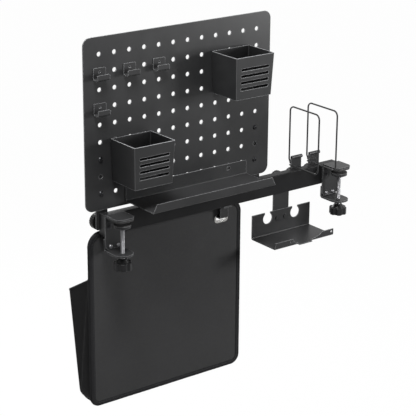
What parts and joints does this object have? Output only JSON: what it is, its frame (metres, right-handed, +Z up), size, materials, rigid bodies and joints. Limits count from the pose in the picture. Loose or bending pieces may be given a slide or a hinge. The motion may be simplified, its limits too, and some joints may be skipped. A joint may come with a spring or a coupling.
{
  "type": "clamp-on desk organizer",
  "caption": "Black metal organizer that clamps to a table's edge: a slotted rail carries a pegboard with cups, hooks and a shelf, wire dividers, a cable tray and a fabric bag.",
  "frame": {"origin": "midway along the rail, where the plane of the table's top meets the plane of its edge: the underside of the jaw pads is at Z 0 and the front of the clamps' upper flanges is at Y 0", "axes": "+X along the rail to the user's right, +Y away from the table, +Z up"},
  "size_m": [0.4646, 0.1382, 0.5626],
  "materials": {
    "powder_coat": "satin black powder coat",
    "coated_wire": "smooth black coat on wire",
    "black_screws": "black oxide",
    "zinc": "bright zinc plating",
    "knob_plastic": "fine-grained black plastic",
    "soft_pad": "matte black foam rubber",
    "bag_cloth": "fine black weave over a board",
    "bag_tape": "ribbed black binding tape",
    "grommet_metal": "polished nickel"
  },
  "bodies": {
    "frame": {"rail": "powder_coat", "clamp_rail_screws": "black_screws", "clamp_joining_screws": "zinc", "clamp_joining_nuts": "zinc", "bag_hook_screws": "black_screws", "rail_end_cap_left": "knob_plastic", "rail_end_cap_right": "knob_plastic", "clamp_upper_left": "powder_coat", "clamp_upper_right": "powder_coat", "clamp_lower_left": "powder_coat", "clamp_lower_right": "powder_coat", "jaw_pad_left": "soft_pad", "jaw_pad_right": "soft_pad", "bag_hook_left": "powder_coat", "bag_hook_right": "powder_coat"},
    "pegboard": {"pegboard_panel": "powder_coat", "panel_strap_left": "powder_coat", "panel_strap_right": "powder_coat", "panel_screws": "black_screws", "panel_nuts": "black_screws", "strap_bolts": "zinc", "strap_washers": "zinc", "pen_cup_upper": "powder_coat", "pen_cup_lower": "powder_coat", "shelf": "powder_coat", "small_hook_1": "powder_coat", "small_hook_2": "powder_coat", "small_hook_3": "powder_coat", "small_hook_4": "powder_coat"},
    "left_strap_knob": {"strap_knob_left": "knob_plastic"},
    "right_strap_knob": {"strap_knob_right": "knob_plastic"},
    "tray": {"tray_hanger": "powder_coat", "cable_tray": "powder_coat", "tray_rivets": "black_screws", "tray_bolt": "zinc", "tray_washer": "zinc"},
    "tray_thumb_knob": {"tray_knob": "knob_plastic"},
    "bag": {"bag_panel": "bag_cloth", "bag_binding": "bag_tape", "bag_pocket": "bag_cloth", "bag_grommets": "grommet_metal"},
    "left_pad": {"swivel_pad_left": "powder_coat", "swivel_facing_left": "soft_pad"},
    "left_screw": {"clamp_screw_left": "zinc", "clamp_knob_left": "knob_plastic"},
    "right_pad": {"swivel_pad_right": "powder_coat", "swivel_facing_right": "soft_pad"},
    "right_screw": {"clamp_screw_right": "zinc", "clamp_knob_right": "knob_plastic"},
    "divider_1": {"divider_bracket_1": "powder_coat", "divider_wire_1": "coated_wire", "divider_bolt_1": "zinc", "divider_washer_1": "zinc"},
    "divider_thumb_knob_1": {"divider_knob_1": "knob_plastic"},
    "divider_2": {"divider_bracket_2": "powder_coat", "divider_wire_2": "coated_wire", "divider_bolt_2": "zinc", "divider_washer_2": "zinc"},
    "divider_thumb_knob_2": {"divider_knob_2": "knob_plastic"}
  },
  "joints": [
    {"name": "left_pad_travel", "type": "slide", "parent": "frame", "child": "left_pad", "axis": [0, 0, 1], "range_m": [-0.035, 0.003]},
    {"name": "left_screw_turn", "type": "hinge", "parent": "left_pad", "child": "left_screw", "pos_m": [-0.20525, -0.0205, -0.03], "axis": [0, 0, 1], "range_deg": [-12640, 1086]},
    {"name": "right_pad_travel", "type": "slide", "parent": "frame", "child": "right_pad", "axis": [0, 0, 1], "range_m": [-0.035, 0.003]},
    {"name": "right_screw_turn", "type": "hinge", "parent": "right_pad", "child": "right_screw", "pos_m": [0.20525, -0.0205, -0.03], "axis": [0, 0, 1], "range_deg": [-12640, 1086]},
    {"name": "pegboard_slide", "type": "slide", "parent": "frame", "child": "pegboard", "axis": [1, 0, 0], "range_m": [0, 0.018]},
    {"name": "tray_slide", "type": "slide", "parent": "frame", "child": "tray", "axis": [1, 0, 0], "range_m": [-0.01, 0]},
    {"name": "divider_1_slide", "type": "slide", "parent": "frame", "child": "divider_1", "axis": [1, 0, 0], "range_m": [0, 0.005]},
    {"name": "divider_2_slide", "type": "slide", "parent": "frame", "child": "divider_2", "axis": [1, 0, 0], "range_m": [-0.005, 0.003]},
    {"name": "bag_swing", "type": "hinge", "parent": "frame", "child": "bag", "pos_m": [-0.098, 0.0215, -0.0476], "axis": [1, 0, 0], "range_deg": [0, 6]},
    {"name": "left_strap_knob_turn", "type": "hinge", "parent": "pegboard", "child": "left_strap_knob", "pos_m": [-0.21565, 0.025, -0.012], "axis": [0, 1, 0], "range_deg": [0, 360]},
    {"name": "right_strap_knob_turn", "type": "hinge", "parent": "pegboard", "child": "right_strap_knob", "pos_m": [0.06375, 0.025, -0.012], "axis": [0, 1, 0], "range_deg": [0, 360]},
    {"name": "tray_thumb_knob_turn", "type": "hinge", "parent": "tray", "child": "tray_thumb_knob", "pos_m": [0.11855, 0.025, -0.012], "axis": [0, 1, 0], "range_deg": [0, 360]},
    {"name": "divider_thumb_knob_1_turn", "type": "hinge", "parent": "divider_1", "child": "divider_thumb_knob_1", "pos_m": [0.14755, 0.025, -0.012], "axis": [0, 1, 0], "range_deg": [0, 360]},
    {"name": "divider_thumb_knob_2_turn", "type": "hinge", "parent": "divider_2", "child": "divider_thumb_knob_2", "pos_m": [0.18375, 0.025, -0.012], "axis": [0, 1, 0], "range_deg": [0, 360]}
  ],
  "couplings": [
    {"joint": "left_screw_turn", "follows": "left_pad_travel", "rad_per_m": 6283.2},
    {"joint": "right_screw_turn", "follows": "right_pad_travel", "rad_per_m": 6283.2}
  ]
}
